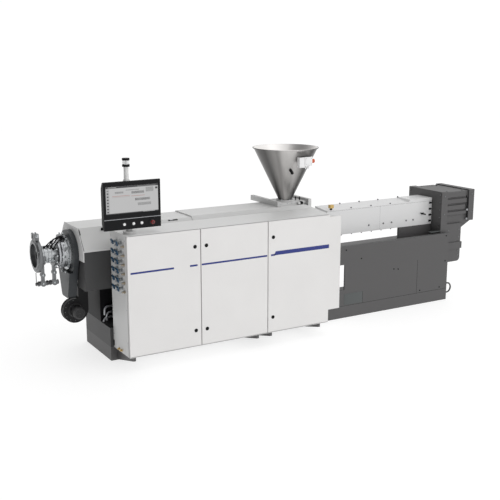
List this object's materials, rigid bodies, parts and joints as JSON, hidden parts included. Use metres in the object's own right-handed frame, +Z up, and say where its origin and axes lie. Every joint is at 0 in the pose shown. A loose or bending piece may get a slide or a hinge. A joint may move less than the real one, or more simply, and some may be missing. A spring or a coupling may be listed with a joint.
{
  "type": "plastic pipe extruder",
  "caption": "Pipe extruder on a steel base with a hinged-door control cabinet, operator panel, hopper, shaft duct and gear unit.",
  "frame": {"origin": "middle of the machine's length and depth, at floor level", "axes": "+X along the machine from the die head to the gear unit, +Y from the doors to the back, +Z up"},
  "size_m": [5.744, 1.202, 2.142],
  "materials": {
    "dark_paint": "satin dark grey coating",
    "light_paint": "satin light grey coating",
    "door_paint": "fine textured off-white coating",
    "duct_paint": "satin white coating",
    "zinc_plate": "zinc plated sheet",
    "machined_steel": "machined, slightly oily",
    "dark_steel": "blackened steel with worn edges",
    "stainless": "brushed stainless sheet",
    "brass": "turned brass",
    "blue_plastic": "moulded blue",
    "black_paint": "satin black",
    "screen_glass": "glossy lit screen",
    "white_plastic": "moulded white",
    "red_plastic": "moulded red",
    "orange_plastic": "moulded orange",
    "clear_plastic": "clear moulded lens"
  },
  "bodies": {
    "root": {"base_frame": "dark_paint", "die_end_stand": "dark_paint", "barrel_support": "black_paint", "cabinet_arms": "dark_paint", "cabinet_roof": "light_paint", "cabinet_floor": "light_paint", "cabinet_back": "light_paint", "cabinet_uprights": "light_paint", "mounting_plates": "zinc_plate", "feed_panel": "door_paint", "drive_cladding": "dark_paint", "drive_bay": "dark_paint", "lifting_eyes": "dark_paint", "barrel_housing": "dark_paint", "lower_body": "dark_paint", "feed_cover": "light_paint", "hood_front": "light_paint", "hood_rear": "light_paint", "hood_collar": "light_paint", "head_plate": "dark_paint", "head_adapter": "machined_steel", "heater_box": "machined_steel", "head_ring": "dark_steel", "ring_lugs": "dark_steel", "swing_bolt": "machined_steel", "head_hangers": "dark_steel", "tie_rod": "dark_steel", "blower_volute": "dark_paint", "blower_motor": "dark_paint", "valve_bodies": "machined_steel", "valve_handles": "blue_plastic", "hose_fittings": "brass", "panel_foot": "light_paint", "hopper_rails": "light_paint", "shaft_duct": "duct_paint", "gear_plate_front": "dark_paint", "gear_housing": "dark_paint", "gear_plate_rear": "dark_paint", "lower_gear_case": "dark_paint", "gear_stand": "dark_paint", "lubricator": "brass"},
    "door_left": {"door_left": "door_paint"},
    "door_middle": {"door_middle": "door_paint"},
    "door_right": {"door_right": "door_paint"},
    "operator_panel": {"panel_housing": "black_paint", "panel_screen": "screen_glass", "panel_buttons": "white_plastic", "emergency_stop": "red_plastic", "beacon_pole": "light_paint", "beacon_bands": "black_paint", "beacon_lens": "clear_plastic"},
    "hopper": {"hopper_cone": "stainless", "hopper_slide": "light_paint", "level_sensor": "white_plastic", "sensor_cap": "orange_plastic"}
  },
  "joints": [
    {"name": "door_left_hinge", "type": "hinge", "parent": "root", "child": "door_left", "pos_m": [-2.17, -0.588, 0.77], "axis": [0, 0, -1], "range_deg": [0, 110]},
    {"name": "door_middle_hinge", "type": "hinge", "parent": "root", "child": "door_middle", "pos_m": [-0.598, -0.588, 0.77], "axis": [0, 0, 1], "range_deg": [0, 110]},
    {"name": "door_right_hinge", "type": "hinge", "parent": "root", "child": "door_right", "pos_m": [0.207, -0.588, 0.77], "axis": [0, 0, 1], "range_deg": [0, 110]},
    {"name": "panel_swivel", "type": "hinge", "parent": "root", "child": "operator_panel", "pos_m": [-2.097, -0.449, 1.45], "axis": [0, 0, 1], "range_deg": [-60, 60]},
    {"name": "hopper_slide_back", "type": "slide", "parent": "root", "child": "hopper", "axis": [0, 1, 0], "range_m": [0, 0.24]}
  ]
}
